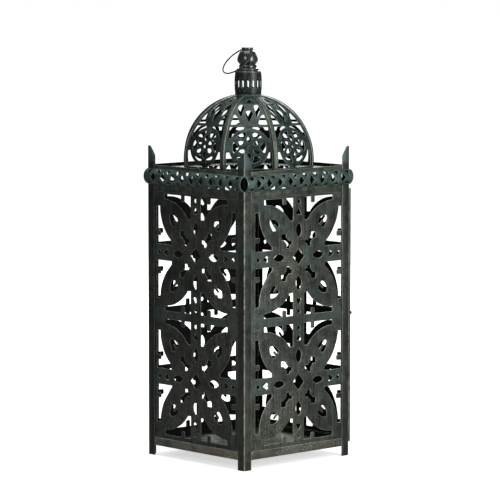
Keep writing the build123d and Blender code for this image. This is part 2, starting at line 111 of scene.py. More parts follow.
def soften(pts, r=0.8, turn=24.0, n=3):
    """Rounds the sharp corners of a closed outline, as a saw or punch leaves them."""
    out = []
    m = len(pts)
    for i in range(m):
        p0, p1, p2 = pts[i - 1], pts[i], pts[(i + 1) % m]
        a = (p0[0] - p1[0], p0[1] - p1[1])
        b = (p2[0] - p1[0], p2[1] - p1[1])
        la, lb = math.hypot(*a), math.hypot(*b)
        if la < 1e-9 or lb < 1e-9:
            continue
        cosv = max(-1.0, min(1.0, (a[0] * b[0] + a[1] * b[1]) / (la * lb)))
        if 180 - math.degrees(math.acos(cosv)) < turn:
            out.append(p1)
            continue
        k = min(r, la * 0.42, lb * 0.42)
        q0 = (p1[0] + a[0] / la * k, p1[1] + a[1] / la * k)
        q1 = (p1[0] + b[0] / lb * k, p1[1] + b[1] / lb * k)
        for j in range(n + 1):
            t = j / n
            out.append(((1 - t) ** 2 * q0[0] + 2 * t * (1 - t) * p1[0] + t * t * q1[0], (1 - t) ** 2 * q0[1] + 2 * t * (1 - t) * p1[1] + t * t * q1[1]))
    return out


def smooth_closed(pts, n=4):
    """Closed Catmull-Rom line through the points."""
    m = len(pts)
    out = []
    for i in range(m):
        p0, p1, p2, p3 = (pts[(i + k - 1) % m] for k in range(4))
        for j in range(n):
            t = j / n
            out.append(tuple(0.5 * ((2 * p1[k]) + (-p0[k] + p2[k]) * t + (2 * p0[k] - 5 * p1[k] + 4 * p2[k] - p3[k]) * t * t + (-p0[k] + 3 * p1[k] - 3 * p2[k] + p3[k]) * t ** 3) for k in range(2)))
    return out


def wander(pts, seed, amount=0.22, scale=0.06):
    """Hand-cut unevenness: shifts each point a little, smoothly along the sheet."""
    out = []
    for x, y in pts:
        v = noise.noise_vector(Vector((x * scale + seed * 7.3, y * scale - seed * 3.1, seed * 1.7)))
        out.append((x + v.x * amount, y + v.y * amount))
    return out


def cuts_between(a, b, step):
    n = max(1, int(round((b - a) / step)))
    return [a + (b - a) * i / n for i in range(1, n)]


def fret(outer, holes, t, bevel, cuts_x=(), cuts_y=()):
    """Pierced sheet as a bmesh in mm: face on z = 0, back on z = -t, edges rounded.
    Faces of the front rounding get material 1, the cut walls material 2."""
    cu = bpy.data.curves.new("fret", "CURVE")
    cu.dimensions = "2D"
    cu.fill_mode = "BOTH"
    cu.extrude = t / 2 - bevel
    cu.bevel_depth = bevel
    cu.bevel_resolution = 1
    cu.offset = -bevel
    for pts in [outer] + holes:
        sp = cu.splines.new("POLY")
        sp.points.add(len(pts) - 1)
        for p, q in zip(sp.points, pts):
            p.co = (q[0], q[1], 0, 1)
        sp.use_cyclic_u = True
    ob = bpy.data.objects.new("fret", cu)
    bpy.context.scene.collection.objects.link(ob)
    bpy.context.view_layer.update()
    me = bpy.data.meshes.new_from_object(ob)
    bpy.data.objects.remove(ob)
    bpy.data.curves.remove(cu)
    bm = bmesh.new()
    bm.from_mesh(me)
    bpy.data.meshes.remove(me)
    bmesh.ops.remove_doubles(bm, verts=bm.verts, dist=0.002)
    bmesh.ops.dissolve_degenerate(bm, edges=bm.edges, dist=0.001)
    bmesh.ops.recalc_face_normals(bm, faces=bm.faces)
    for axis, cuts in ((0, cuts_x), (1, cuts_y)):
        no = Vector((1, 0, 0)) if axis == 0 else Vector((0, 1, 0))
        for c in cuts:
            bmesh.ops.bisect_plane(bm, geom=bm.verts[:] + bm.edges[:] + bm.faces[:], plane_co=no * c, plane_no=no, dist=1e-5)
    bmesh.ops.translate(bm, verts=bm.verts, vec=(0, 0, -t / 2))
    bm.normal_update()
    for f in bm.faces:
        z = f.normal.z
        f.material_index = 1 if 0.2 < z < 0.985 else (0 if abs(z) >= 0.985 else (2 if z <= 0.2 and abs(z) < 0.6 else 0))
    return bm


def put(bm, name, body, nodes, mats, warp=None, smooth=35.0, grain=None):
    """Finishes a bmesh given in mm as an object that rides on a body and stands for CAD nodes."""
    for v in bm.verts:
        v.co = (Vector(warp(*v.co)) if warp else v.co) * MM
    if warp:
        bmesh.ops.recalc_face_normals(bm, faces=bm.faces)
    me = bpy.data.meshes.new(name)
    bm.to_mesh(me)
    bm.free()
    for m in mats:
        me.materials.append(m)
    me.shade_smooth()
    me.set_sharp_from_angle(angle=math.radians(smooth))
    ob = bpy.data.objects.new(name, me)
    bpy.context.scene.collection.objects.link(ob)
    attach(ob, body)
    if nodes:
        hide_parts(*nodes)
    return ob


def turn(deg):
    c, s = math.cos(math.radians(deg)), math.sin(math.radians(deg))
    return lambda p: (p[0] * c - p[1] * s, p[0] * s + p[1] * c, p[2])


# ------------------------------------------------------------------ materials


def node_tools(mat):
    nt = mat.node_tree
    nt.nodes.clear()

    def new(kind, **kw):
        n = nt.nodes.new(kind)
        for k, v in kw.items():
            if k.startswith("in_"):
                key = k[3:]
                n.inputs[int(key) if key.isdigit() else key].default_value = v
            else:
                setattr(n, k, v)
        return n

    def link(a, b):
        nt.links.new(a, b)

    return nt, new, link


def ramp(new, link, source, stops):
    r = new("ShaderNodeValToRGB")
    e = r.color_ramp.elements
    while len(e) > 1:
        e.remove(e[-1])
    e[0].position, e[0].color = stops[0][0], stops[0][1]
    for pos, col in stops[1:]:
        el = e.new(pos)
        el.color = col
    link(source, r.inputs[0])
    return r.outputs[0]


def grey(v):
    return (v, v, v, 1)


def patina(name, dark, warm, green, pale, streak=(900, 900, 26), verdigris=0.4, rub=0.2, rough=0.5, metallic=0.35, spec=0.5, edge=False, seed=0.0, coat=0.0, bump=0.35, streak_amount=0.5, rim_amount=0.8, lift=1.0, fade=0.25, bars=0.0, tan=0.0, soot=0.0, post=False):
    """Dark patinated steel: large cloudy changes of tone, brushed streaks, green bloom,
    and paint rubbed pale in spots; the edge kind is rubbed nearly everywhere, partly as a painted rim highlight."""
    mat = bpy.data.materials.new(name)
    mat.use_nodes = True
    nt, new, link = node_tools(mat)
    out = new("ShaderNodeOutputMaterial")
    bsdf = new("ShaderNodeBsdfPrincipled")
    bsdf.inputs["Metallic"].default_value = metallic
    bsdf.inputs["IOR"].default_value = 1.5
    bsdf.inputs["Specular IOR Level"].default_value = spec
    bsdf.inputs["Coat Weight"].default_value = coat
    bsdf.inputs["Coat Roughness"].default_value = 0.18
    link(bsdf.outputs[0], out.inputs[0])
    tc = new("ShaderNodeTexCoord")
    shift = new("ShaderNodeMapping")
    shift.inputs["Location"].default_value = (seed, seed * 0.37, seed * 1.31)
    link(tc.outputs["Object"], shift.inputs[0])
    P = shift.outputs[0]

    def nz(scale, detail=4.0, roughness=0.55, vec=P, dist=0.0):
        n = new("ShaderNodeTexNoise")
        n.inputs["Scale"].default_value = scale
        n.inputs["Detail"].default_value = detail
        n.inputs["Roughness"].default_value = roughness
        n.inputs["Distortion"].default_value = dist
        link(vec, n.inputs["Vector"])
        return n.outputs["Fac"]

    st = new("ShaderNodeMapping")
    st.inputs["Scale"].default_value = streak
    link(P, st.inputs[0])
    cloud = nz(9.0, 3.0)
    mottled = nz(62.0, 5.0, 0.6, dist=0.4)
    fine = nz(420.0, 3.0, 0.6)
    streaks = nz(1.0, 4.0, 0.65, st.outputs[0])

    def mix(a, b, fac, mode="MIX"):
        m = new("ShaderNodeMix", data_type="RGBA", blend_type=mode)
        if isinstance(fac, float):
            m.inputs[0].default_value = fac
        else:
            link(fac, m.inputs[0])
        for src, sock in ((a, m.inputs[6]), (b, m.inputs[7])):
            if isinstance(src, tuple):
                sock.default_value = src
            else:
                link(src, sock)
        return m.outputs[2]

    def math_(op, a, b, clamp=False):
        m = new("ShaderNodeMath", operation=op, use_clamp=clamp)
        for src, sock in ((a, m.inputs[0]), (b, m.inputs[1])):
            if isinstance(src, (int, float)):
                sock.default_value = src
            else:
                link(src, sock)
        return m.outputs[0]

    base = mix(dark + (1,), warm + (1,), ramp(new, link, cloud, [(0.36, grey(0)), (0.64, grey(1))]))
    base = mix(base, (dark[0] * 0.45, dark[1] * 0.48, dark[2] * 0.5, 1), ramp(new, link, mottled, [(0.32, grey(0.9)), (0.50, grey(0))]))
    vmask = math_("MULTIPLY", ramp(new, link, mottled, [(0.47, grey(0)), (0.66, grey(1))]), ramp(new, link, nz(21.0, 3.0), [(0.40, grey(0)), (0.60, grey(1))]))
    base = mix(base, green + (1,), math_("MULTIPLY", vmask, verdigris, True))
    smask = ramp(new, link, streaks, [(0.50, grey(0)), (0.72, grey(1))])
    base = mix(base, pale + (1,), math_("MULTIPLY", smask, 0.6 * streak_amount, True))
    dmask = ramp(new, link, streaks, [(0.30, grey(1)), (0.46, grey(0))])
    base = mix(base, (dark[0] * 0.4, dark[1] * 0.4, dark[2] * 0.4, 1), math_("MULTIPLY", dmask, 1.2 * streak_amount, True))
    rmask = math_("MULTIPLY", ramp(new, link, fine, [(0.50, grey(0)), (0.68, grey(1))]), ramp(new, link, cloud, [(0.42, grey(0)), (0.62, grey(1))]))
    base = mix(base, pale + (1,), math_("MULTIPLY", rmask, rub, True))
    # rubbed rims, partly a painted rim highlight: a pale tint along every cut edge
    rim = new("ShaderNodeAmbientOcclusion", samples=6, inside=True, only_local=True)
    rim.inputs["Distance"].default_value = 0.00115
    near = ramp(new, link, rim.outputs["AO"], [(0.62, grey(1)), (0.93, grey(0))])
    worn = ramp(new, link, nz(70.0, 3.0, 0.6), [(0.36, grey(0.15)), (0.60, grey(1))])
    tint = mix((pale[0] * 2.3, pale[1] * 2.3, pale[2] * 2.2, 1), (green[0] * 2.6, green[1] * 2.5, green[2] * 2.2, 1), ramp(new, link, nz(34.0, 2.0), [(0.42, grey(0)), (0.62, grey(0.75))]))
    base = mix(base, tint, math_("MULTIPLY", math_("MULTIPLY", near, worn), rim_amount, True))
    if tan:
        # handled and dusty: brown patches along the rail
        brown = ramp(new, link, nz(24.0, 3.0), [(0.44, grey(0)), (0.62, grey(1))])
        base = mix(base, (0.062, 0.050, 0.034, 1), math_("MULTIPLY", brown, tan, True))
    if bars:
        # green bloom gathered on the level bars of the fretwork, away from the middle of each square
        pos = new("ShaderNodeSeparateXYZ")
        link(tc.outputs["Object"], pos.inputs[0])
        along = math_("MINIMUM", math_("ABSOLUTE", pos.outputs[0], 0.0), math_("ABSOLUTE", pos.outputs[1], 0.0))
        wob = math_("MULTIPLY", math_("SUBTRACT", nz(18.0, 2.0), 0.5), 0.018)
        hit = None
        for zc, hw, u0 in ((0.1365, 0.016, 0.050), (0.347, 0.016, 0.050), (0.24175, 0.0125, 0.006), (0.455, 0.014, 0.070)):
            near_z = new("ShaderNodeMapRange", interpolation_type="SMOOTHSTEP")
            near_z.inputs["From Min"].default_value = hw + 0.004
            near_z.inputs["From Max"].default_value = hw - 0.003
            link(math_("ABSOLUTE", math_("SUBTRACT", pos.outputs[2], zc), 0.0), near_z.inputs["Value"])
            outward = new("ShaderNodeMapRange", interpolation_type="SMOOTHSTEP")
            outward.inputs["From Min"].default_value = u0
            outward.inputs["From Max"].default_value = u0 + 0.030
            link(math_("ADD", along, wob), outward.inputs["Value"])
            one = math_("MULTIPLY", near_z.outputs[0], outward.outputs[0])
            hit = one if hit is None else math_("MAXIMUM", hit, one)
        patchy = ramp(new, link, nz(85.0, 5.0, 0.7, dist=0.5), [(0.36, grey(0.1)), (0.62, grey(1))])
        base = mix(base, (green[0] * 1.35, green[1] * 1.0, green[2] * 0.95, 1), math_("MULTIPLY", math_("MULTIPLY", hit, patchy), bars, True))
    # painted shade: each sheet is painted darker away from the front corner, the way the light falls off across the
    # face
    ax = new("ShaderNodeSeparateXYZ")
    link(tc.outputs["Object"], ax.inputs[0])
    fd = new("ShaderNodeMapRange")
    fd.inputs["From Min"].default_value = 0.0
    fd.inputs["From Max"].default_value = 0.26
    fd.inputs["To Min"].default_value = (1.0 - fade) * lift
    fd.inputs["To Max"].default_value = lift
    link(math_("ADD", math_("SUBTRACT", ax.outputs[0], ax.outputs[1]), math_("MULTIPLY", math_("SUBTRACT", cloud, 0.5), 0.35)), fd.inputs["Value"])
    base = mix(base, fd.outputs[0], 1.0, "MULTIPLY")
    if soot:
        # painted shade: the inner side of every sheet is painted near black, for the dark inside of the lantern
        radial = new("ShaderNodeVectorMath", operation="MULTIPLY")
        link(tc.outputs["Object"], radial.inputs[0])
        radial.inputs[1].default_value = (1.0, 1.0, 0.0)
        unit = new("ShaderNodeVectorMath", operation="NORMALIZE")
        link(radial.outputs[0], unit.inputs[0])
        facing = new("ShaderNodeVectorMath", operation="DOT_PRODUCT")
        link(tc.outputs["Normal"], facing.inputs[0])
        link(unit.outputs[0], facing.inputs[1])
        inner = new("ShaderNodeMapRange", interpolation_type="SMOOTHSTEP")
        inner.inputs["From Min"].default_value = 0.10
        inner.inputs["From Max"].default_value = -0.35
        link(facing.outputs["Value"], inner.inputs["Value"])
        black = math_("MULTIPLY", inner.outputs[0], soot, True)
        base = mix(base, (0.0035, 0.0035, 0.0033, 1), black)
    wear_z = None
    if post:
        # spike: cool blue-green bloom; the length behind the half-round is painted near black as shade
        pz = new("ShaderNodeSeparateXYZ")
        link(tc.outputs["Object"], pz.inputs[0])

        def step(z0, z1):
            m = new("ShaderNodeMapRange", interpolation_type="SMOOTHSTEP")
            m.inputs["From Min"].default_value = z0
            m.inputs["From Max"].default_value = z1
            link(pz.outputs[2], m.inputs["Value"])
            return m.outputs[0]

        spike = step(0.494, 0.503)
        base = mix(base, (0.075, 0.112, 0.112, 1), math_("MULTIPLY", spike, ramp(new, link, nz(70.0, 4.0, 0.65), [(0.30, grey(0.35)), (0.62, grey(0.85))]), True))
        hidden = math_("MULTIPLY", step(0.4605, 0.4625), math_("SUBTRACT", 1.0, step(0.4855, 0.4875)))
        base = mix(base, (0.004, 0.004, 0.004, 1), hidden)
        wear_z = math_("SUBTRACT", 1.0, math_("MAXIMUM", hidden, math_("MULTIPLY", spike, 0.75)), True)
    # rounded edges rubbed pale, partly a painted rim highlight
    if edge:
        wear = ramp(new, link, nz(95.0, 3.0, 0.6), [(0.34, grey(0.12)), (0.56, grey(1))])
        if wear_z is not None:
            wear = math_("MULTIPLY", wear, wear_z)
        base = mix(base, mix((pale[0] * 1.6, pale[1] * 1.6, pale[2] * 1.5, 1), (green[0] * 1.8, green[1] * 1.8, green[2] * 1.7, 1), ramp(new, link, nz(40.0, 2.0), [(0.45, grey(0)), (0.65, grey(0.6))])), math_("MULTIPLY", wear, 0.9, True))
    link(base, bsdf.inputs["Base Color"])
    rr = new("ShaderNodeMapRange")
    rr.inputs["To Min"].default_value = rough - 0.10
    rr.inputs["To Max"].default_value = rough + 0.14
    link(math_("ADD", math_("MULTIPLY", mottled, 0.6), math_("MULTIPLY", streaks, 0.4)), rr.inputs["Value"])
    rr.inputs["From Min"].default_value = 0.35
    rr.inputs["From Max"].default_value = 0.65
    link(rr.outputs[0], bsdf.inputs["Roughness"])
    b1 = new("ShaderNodeBump")
    b1.inputs["Strength"].default_value = bump
    b1.inputs["Distance"].default_value = 0.00025
    link(math_("ADD", math_("MULTIPLY", fine, 0.5), math_("MULTIPLY", streaks, 0.8)), b1.inputs["Height"])
    b2 = new("ShaderNodeBump")
    b2.inputs["Strength"].default_value = bump
    b2.inputs["Distance"].default_value = 0.0009
    link(mottled, b2.inputs["Height"])
    link(b1.outputs[0], b2.inputs["Normal"])
    link(b2.outputs[0], bsdf.inputs["Normal"])
    return mat


DARK = (0.017, 0.021, 0.020)
WARM = (0.040, 0.037, 0.031)
GREEN = (0.046, 0.100, 0.092)
PALE = (0.21, 0.235, 0.175)

UP = (900, 900, 26)
ALONG_X = (26, 900, 900)
ALONG_Y = (900, 26, 900)


def mats(kind, streak=UP, tint=WARM, light=PALE, **kw):
    """Sheet face, rounded edge and cut wall of one finish."""
    a = patina(kind, DARK, tint, GREEN, light, streak=streak, **kw)
    kw2 = dict(kw)
    kw2["rub"] = 0.5
    b = patina(kind + "_edge", DARK, tint, GREEN, light, streak=streak, edge=True, **kw2)
    kw3 = dict(kw)
    kw3["rub"] = 0.05
    c = patina(kind + "_cut", tuple(v * 0.6 for v in DARK), DARK, GREEN, light, streak=streak, **kw3)
    return [a, b, c]


PANEL = mats("fretwork_patina", verdigris=0.55, rub=0.6, rough=0.44, soot=0.9, seed=1.0, bars=0.75, lift=1.12, streak_amount=0.62)
FRAME = mats("frame_patina", post=True, soot=0.8, verdigris=0.5, rub=0.3, rough=0.45, seed=2.0, fade=0.4, lift=0.85)
# painted light and shade: the x and y copies of the rail, lip and band finishes are given different brightness, so each
# face is painted lighter or darker for the light that falls on it
RAIL_X = mats("rail_patina_x", soot=0.8, streak=ALONG_X, verdigris=0.3, rub=0.7, rough=0.46, seed=3.0, lift=5.0, tan=0.7)
RAIL_Y = mats("rail_patina_y", soot=0.8, streak=ALONG_Y, verdigris=0.3, rub=0.7, rough=0.46, seed=4.0, lift=1.9, tan=0.7)
RAIL_DX = mats("lip_patina_x", soot=0.9, streak=ALONG_X, verdigris=0.15, rub=0.25, rough=0.46, seed=16.0, lift=0.5, rim_amount=0.5)
RAIL_DY = mats("lip_patina_y", soot=0.9, streak=ALONG_Y, verdigris=0.15, rub=0.25, rough=0.46, seed=17.0, lift=0.42, rim_amount=0.5)
BAND_X = mats("band_patina_x", light=(0.12, 0.185, 0.165), soot=0.9, streak=ALONG_X, verdigris=1.0, rub=0.3, rough=0.45, seed=5.0, streak_amount=0.5, lift=0.8, tint=(0.028, 0.044, 0.042))
BAND_Y = mats("band_patina_y", light=(0.12, 0.185, 0.165), soot=0.9, streak=ALONG_Y, verdigris=1.0, rub=0.3, rough=0.45, seed=6.0, streak_amount=0.5, lift=0.66, tint=(0.028, 0.044, 0.042))
DOME = mats("dome_patina", light=(0.14, 0.20, 0.175), soot=0.85, verdigris=1.4, rub=0.25, rough=0.40, seed=7.0, streak_amount=0.4, lift=0.95, tint=(0.026, 0.045, 0.043))
RIB = mats("rib_patina", verdigris=0.7, rub=0.4, rough=0.38, seed=8.0, streak_amount=0.3)
COLLAR = mats("collar_patina", soot=0.85, light=(0.12, 0.17, 0.15), tint=(0.024, 0.036, 0.034), verdigris=0.8, rub=0.2, rough=0.36, seed=18.0, streak_amount=0.3, lift=0.62, rim_amount=0.35)
FINIAL = mats("finial_patina", coat=0.6, tint=(0.028, 0.042, 0.040), verdigris=0.8, rub=0.03, rough=0.31, metallic=0.25, spec=0.9, seed=9.0, streak_amount=0.15, bump=0.12, lift=0.6)
HINGE = mats("hinge_patina", verdigris=0.2, rub=0.15, rough=0.45, seed=10.0)
WIRE = mats("wire_patina", verdigris=0.3, rub=0.12, rough=0.34, seed=12.0, lift=0.6, rim_amount=0.0)

# ------------------------------------------------------------------ fretwork pattern
CELL = 98.2
CELL_Z = (136.5, 347.0)
BAR_V, BAR_H = 12.6, 13.8
PEG_W, PEG_L, PEG_AT = 8.7, 10.4, 32.5
SHIFT = {"fretwork_panel_front": -1.0, "fretwork_panel_right": 4.2, "fretwork_panel_left": 0.0}


def xf(items, f):
    out = []
    for p in items:
        out.append((f(p[0]), f(p[1])) if isinstance(p[0], (tuple, list)) else f(p))
    return out


def cell_holes(cz, seed, cx=0.0):
    holes = []

    def add(items, f, r=0.9):
        holes.append(wander(soften(outline(*xf(items, f)), r), seed + 0.1 * len(holes), 0.28))

    p0, p1, r = PEG_AT - PEG_W / 2, PEG_AT + PEG_W / 2, 2.6
    k = r * (1 - math.sqrt(0.5))
    y0 = CELL - PEG_L
    c = math.sqrt(0.5)
    for sx in (1, -1):
        for sy in (1, -1):
            g = lambda p, sx=sx, sy=sy: (cx + sx * p[0], cz + sy * p[1])
            add([(BAR_V, CELL), (p0, CELL), (p0, y0 + r), ((p0 + k, y0 + k), (p0 + r, y0)), (p1 - r, y0), ((p1 - k, y0 + k), (p1, y0 + r)), (p1, CELL), (78.0, CELL), (78.0, 90.0), ((48.3, 83.4), (20.0, 60.4)), (BAR_V, 60.4)], g)
            add([(CELL, BAR_H), (CELL, p0), (y0 + r, p0), ((y0 + k, p0 + k), (y0, p0 + r)), (y0, p1 - r), ((y0 + k, p1 - k), (y0 + r, p1)), (CELL, p1), (CELL, 78.0), (90.0, 78.0), ((83.4, 48.3), (60.4, 20.0)), (60.4, BAR_H)], g)
            h = lambda p, sx=sx, sy=sy: (cx + sx * (p[0] - p[1]) * c, cz + sy * (p[0] + p[1]) * c)
            add([(91.4, 0.0), ((86.0, -5.8), (78.2, -8.2)), ((71.6, -7.9), (69.4, -4.8)), (69.6, -2.5), (77.6, -2.3), ((80.0, 0.0), (77.6, 2.3)), (69.6, 2.5), (69.4, 4.8), ((71.6, 7.9), (78.2, 8.2)), ((86.0, 5.8), (91.4, 0.0))], h, 0.9)
            add([(39.2, 39.2), (39.2, 28.8), (33.9, 28.8), (26.8, 21.7), (27.2, 15.2), (21.0, 15.2), (20.2, 20.2), (15.2, 21.0), (15.2, 27.2), (21.7, 26.8), (28.8, 33.9), (28.8, 39.2)], g, 1.5)
    add([(13.0, 0), (0, 13.4), (-13.0, 0), (0, -13.4)], lambda p: (cx + p[0], cz + p[1]), 0.8)
    for k in range(4):
        ck, sk = (1, 0, -1, 0)[k], (0, 1, 0, -1)[k]
        g = lambda p, ck=ck, sk=sk: (cx + ck * p[0] - sk * p[1], cz + sk * p[0] + ck * p[1])
        add([(32.2, 0.0), ((43.0, 6.1), (56.6, 0.0)), ((43.0, -6.1), (32.2, 0.0))], g, 0.8)
        add([(80.6, 0.0), (72.4, 5.5), ((69.4, 3.2), (71.6, 0.0)), ((69.4, -3.2), (72.4, -5.5))], g, 0.8)
        add([(95.0, 0.0), ((91.6, 3.4), (88.2, 0.0)), ((91.6, -3.4), (95.0, 0.0))], g, 0.0)
    return holes


def panel_bmesh(x0, x1, z0, z1, t, seed, extra=(), cx=0.0):
    holes = cell_holes(CELL_Z[0], seed, cx) + cell_holes(CELL_Z[1], seed + 5, cx)
    outer = soften([(x0, z0), (x1, z0), (x1, z1), (x0, z1)], 1.0)
    return fret(outer, holes + list(extra), t, 0.38, cuts_between(x0, x1, 19), cuts_between(z0, z1, 19))


def dent(x, z, seed, amount):
    return amount * noise.noise(Vector((x * 0.021 + seed * 3.7, z * 0.017 - seed, seed * 0.9)))


def sheet_warp(deg, y_out, seed, amount=0.35):
    tr = turn(deg)

    def w(x, y, z):
        d = dent(x, y, seed, amount)
        edge = min(1.0, (117.0 - min(117.0, abs(x))) / 25.0)
        return tr((x, -(y_out + z) + (d - amount * 0.5) * 0 + d * edge * 0.0 + abs(d) * edge, y))

    return w


pt = pan_hi[1] - pan_lo[1]
for node, deg, seed in (("fretwork_panel_front", 0, 1), ("fretwork_panel_right", 90, 2), ("fretwork_panel_left", 270, 3)):
    bm = panel_bmesh(pan_lo[0], pan_hi[0], pan_lo[2], pan_hi[2], pt, seed, (), SHIFT[node])
    put(bm, node + "_sheet", "lantern_body", [node], PANEL, sheet_warp(deg, PANEL_OUT, seed))

# ------------------------------------------------------------------ bars with rounded edges


def bar_bmesh(lo, hi, r=0.35, cuts=12.0, segs=2):
    bm = bmesh.new()
    bmesh.ops.create_cube(bm, size=1.0)
    c = [(a + b) / 2 for a, b in zip(lo, hi)]
    s = [b - a for a, b in zip(lo, hi)]
    for v in bm.verts:
        v.co = Vector([v.co[i] * s[i] + c[i] for i in range(3)])
    bmesh.ops.bevel(bm, geom=bm.edges[:], offset=min(r, min(s) * 0.4), segments=segs, profile=0.5, affect="EDGES", material=1)
    long = s.index(max(s))
    no = Vector([1.0 if i == long else 0.0 for i in range(3)])
    for c_ in cuts_between(lo[long], hi[long], cuts):
        bmesh.ops.bisect_plane(bm, geom=bm.verts[:] + bm.edges[:] + bm.faces[:], plane_co=no * c_, plane_no=no, dist=1e-5)
    return bm


def uneven(tr, seed, amount=0.12):
    """Small bends and hammer marks in a bar, kept inside its own outline."""
    def w(x, y, z):
        n = noise.noise(Vector((x * 0.05 + seed, y * 0.05, z * 0.05 - seed)))
        return tr((x, y + abs(n) * amount, z))
    return w


RAIL_M = {0: RAIL_X, 180: RAIL_X, 90: RAIL_Y, 270: RAIL_Y}
for node, deg in (("bottom_rail_front", 0), ("bottom_rail_right", 90), ("bottom_rail_rear", 180), ("bottom_rail_left", 270)):
    put(bar_bmesh(rail_lo, rail_hi, 0.4), node + "_bar", "lantern_body", [node], RAIL_M[deg], uneven(turn(deg), deg * 0.1 + 1))

# ------------------------------------------------------------------ corner posts
SHOULDER = 507.0
TIP_W = 5.2


def post_bmesh(slot_at=None):
    e, s, t, r = HALF - FLANGE, HALF, 1.5, 1.4
    zs = [0.0, 0.5] + [12.0 + 15.0 * i for i in range(33)] + [SHOULDER - 2, SHOULDER, SHOULDER + 3, SHOULDER + 8, SHOULDER + 13, POST_TOP - 0.8, POST_TOP]
    bm = bmesh.new()
    rings = []
    for z in zs:
        k = 0.0 if z <= SHOULDER else (z - SHOULDER) / (POST_TOP - SHOULDER)
        q = e + (FLANGE - TIP_W) * (k ** 1.15)
        top = 0.0
        if z == POST_TOP:
            q += 0.8
        pts = [(q, -s), (s - r, -s)]
        for i in range(1, 5):
            a = -math.pi / 2 + (math.pi / 2) * i / 5
            pts.append((s - r + r * math.cos(a), -s + r + r * math.sin(a)))
        pts += [(s, -s + r), (s, -q), (s - t, -q), (s - t, -s + t + 0.3), (s - t - 0.3, -s + t), (q, -s + t)]
        rings.append([bm.verts.new((x, y, z)) for x, y in pts])
    n = len(rings[0])
    for a, b in zip(rings[:-1], rings[1:]):
        for i in range(n):
            f = bm.faces.new((a[i], a[(i + 1) % n], b[(i + 1) % n], b[i]))
            if 1 <= i <= 5:
                f.material_index = 1
    bm.faces.new(list(reversed(rings[0])))
    bm.faces.new(rings[-1])
    bmesh.ops.recalc_face_normals(bm, faces=bm.faces)
    sharp = [ed for ed in bm.edges if len(ed.link_faces) == 2 and ed.calc_face_angle() > math.radians(50)]
    bmesh.ops.bevel(bm, geom=sharp, offset=0.32, segments=2, profile=0.5, affect="EDGES", material=1)
    return bm


def post_warp(deg, seed):
    tr = turn(deg)

    def w(x, y, z):
        a = 0.16 * abs(noise.noise(Vector((seed, z * 0.035, 0))))
        b = 0.16 * abs(noise.noise(Vector((seed + 9, z * 0.04, 0))))
        return tr((x - a, y + b, z))

    return w


for node, deg in (("corner_post_front_right", 0), ("corner_post_rear_right", 90), ("corner_post_rear_left", 180), ("corner_post_front_left", 270)):
    put(post_bmesh(), node + "_angle", "lantern_body", [node], FRAME, post_warp(deg, deg + 1.5))

# ------------------------------------------------------------------ cornice bands
BZ0, BZ1 = 460.5, 487.0
LIP0, RIM1 = band_lo[2], band_hi[2]
BZC = (BZ0 + BZ1) / 2
SAG = -band_lo[1] - HALF
HC = (BZ1 - BZ0) / 2
BR = (HC * HC + SAG * SAG) / (2 * SAG)
PHI = math.asin(HC / BR)
ARC = 2 * BR * PHI
LOWL = BZ0 - LIP0
UPL = RIM1 - BZ1
INNER = HALF - FLANGE


def band_holes(seed):
    mid = LOWL + ARC / 2
    H = []
    for k in range(1, 10):
        u = -HALF + 24 * k
        j = random.uniform(-0.3, 0.3)
        H.append(wander(soften([(u - 5.8 + j, mid), (u, mid + 8.9), (u + 5.8 + j, mid), (u, mid - 8.9)], 0.9), seed + k, 0.35, 0.2))
    for k in range(10):
        u = -HALF + 12 + 24 * k
        for s in (1, -1):
            tri = outline((u - 5.5, mid + s * 13.0), ((u, mid + s * 14.4), (u + 5.5, mid + s * 13.0)), (u, mid + s * 5.2))
            H.append(wander(soften(tri, 1.0), seed + 20 + k, 0.35, 0.2))
    return H


def band_warp(deg, seed):
    tr = turn(deg)
    out = -rail_lo[1]

    def w(x, v, t):
        wob = 0.12 * noise.noise(Vector((x * 0.03 + seed, v * 0.05, seed)))
        if v < LOWL - 1e-4:
            return tr((x, -(out + t) + abs(wob), LIP0 + v))
        if v > LOWL + ARC + 1e-4:
            return tr((x, -(out + t) + abs(wob), BZ1 + v - LOWL - ARC))
        phi = -PHI + (v - LOWL) / BR
        rho = BR + t - abs(wob)
        return tr((x, -(HALF + SAG - BR + rho * math.cos(phi)), BZC + rho * math.sin(phi)))

    return w


A0, A1, A2 = LOWL, LOWL + ARC, LOWL + ARC + UPL
band_outer = [(-INNER, 0), (INNER, 0), (INNER, A0), (HALF, A0), (HALF, A1), (INNER, A1), (INNER, A2), (-INNER, A2), (-INNER, A1), (-HALF, A1), (-HALF, A0), (-INNER, A0)]
for node, deg in (("cornice_band_front", 0), ("cornice_band_right", 90), ("cornice_band_rear", 180), ("cornice_band_left", 270)):
    bm = fret(band_outer, band_holes(deg * 0.05 + 2), 1.0, 0.3, cuts_between(-HALF, HALF, 12), [A0, A1] + cuts_between(A0, A1, 1.9))
    for f in bm.faces:
        v = f.calc_center_median().y
        if v < A0 - 0.01 or v > A1 + 0.01:
            f.material_index += 3
    put(bm, node + "_strip", "lantern_body", [node], (BAND_X + RAIL_DX) if deg in (0, 180) else (BAND_Y + RAIL_DY), band_warp(deg, deg + 3.0), smooth=32)

# ------------------------------------------------------------------ roof and floor plates


def circle(r, n=96, cx=0.0, cy=0.0):
    return [(cx + r * math.cos(2 * math.pi * i / n), cy + r * math.sin(2 * math.pi * i / n)) for i in range(n)]


ROOF_HOLE = 80.0
h = roof_hi[0]
bm = fret(soften([(-h, -h), (h, -h), (h, h), (-h, h)], 1.5), [wander(circle(ROOF_HOLE, 144), 4, 0.5, 0.04)], roof_hi[2] - roof_lo[2], 0.32, cuts_between(-h, h, 30), cuts_between(-h, h, 30))
put(bm, "roof_plate_sheet", "lantern_body", ["roof_plate"], mats("roof_patina", streak=ALONG_X, verdigris=0.3, rub=0.1, rough=0.45, seed=14.0), lambda x, y, z: (x, y, roof_hi[2] + z))

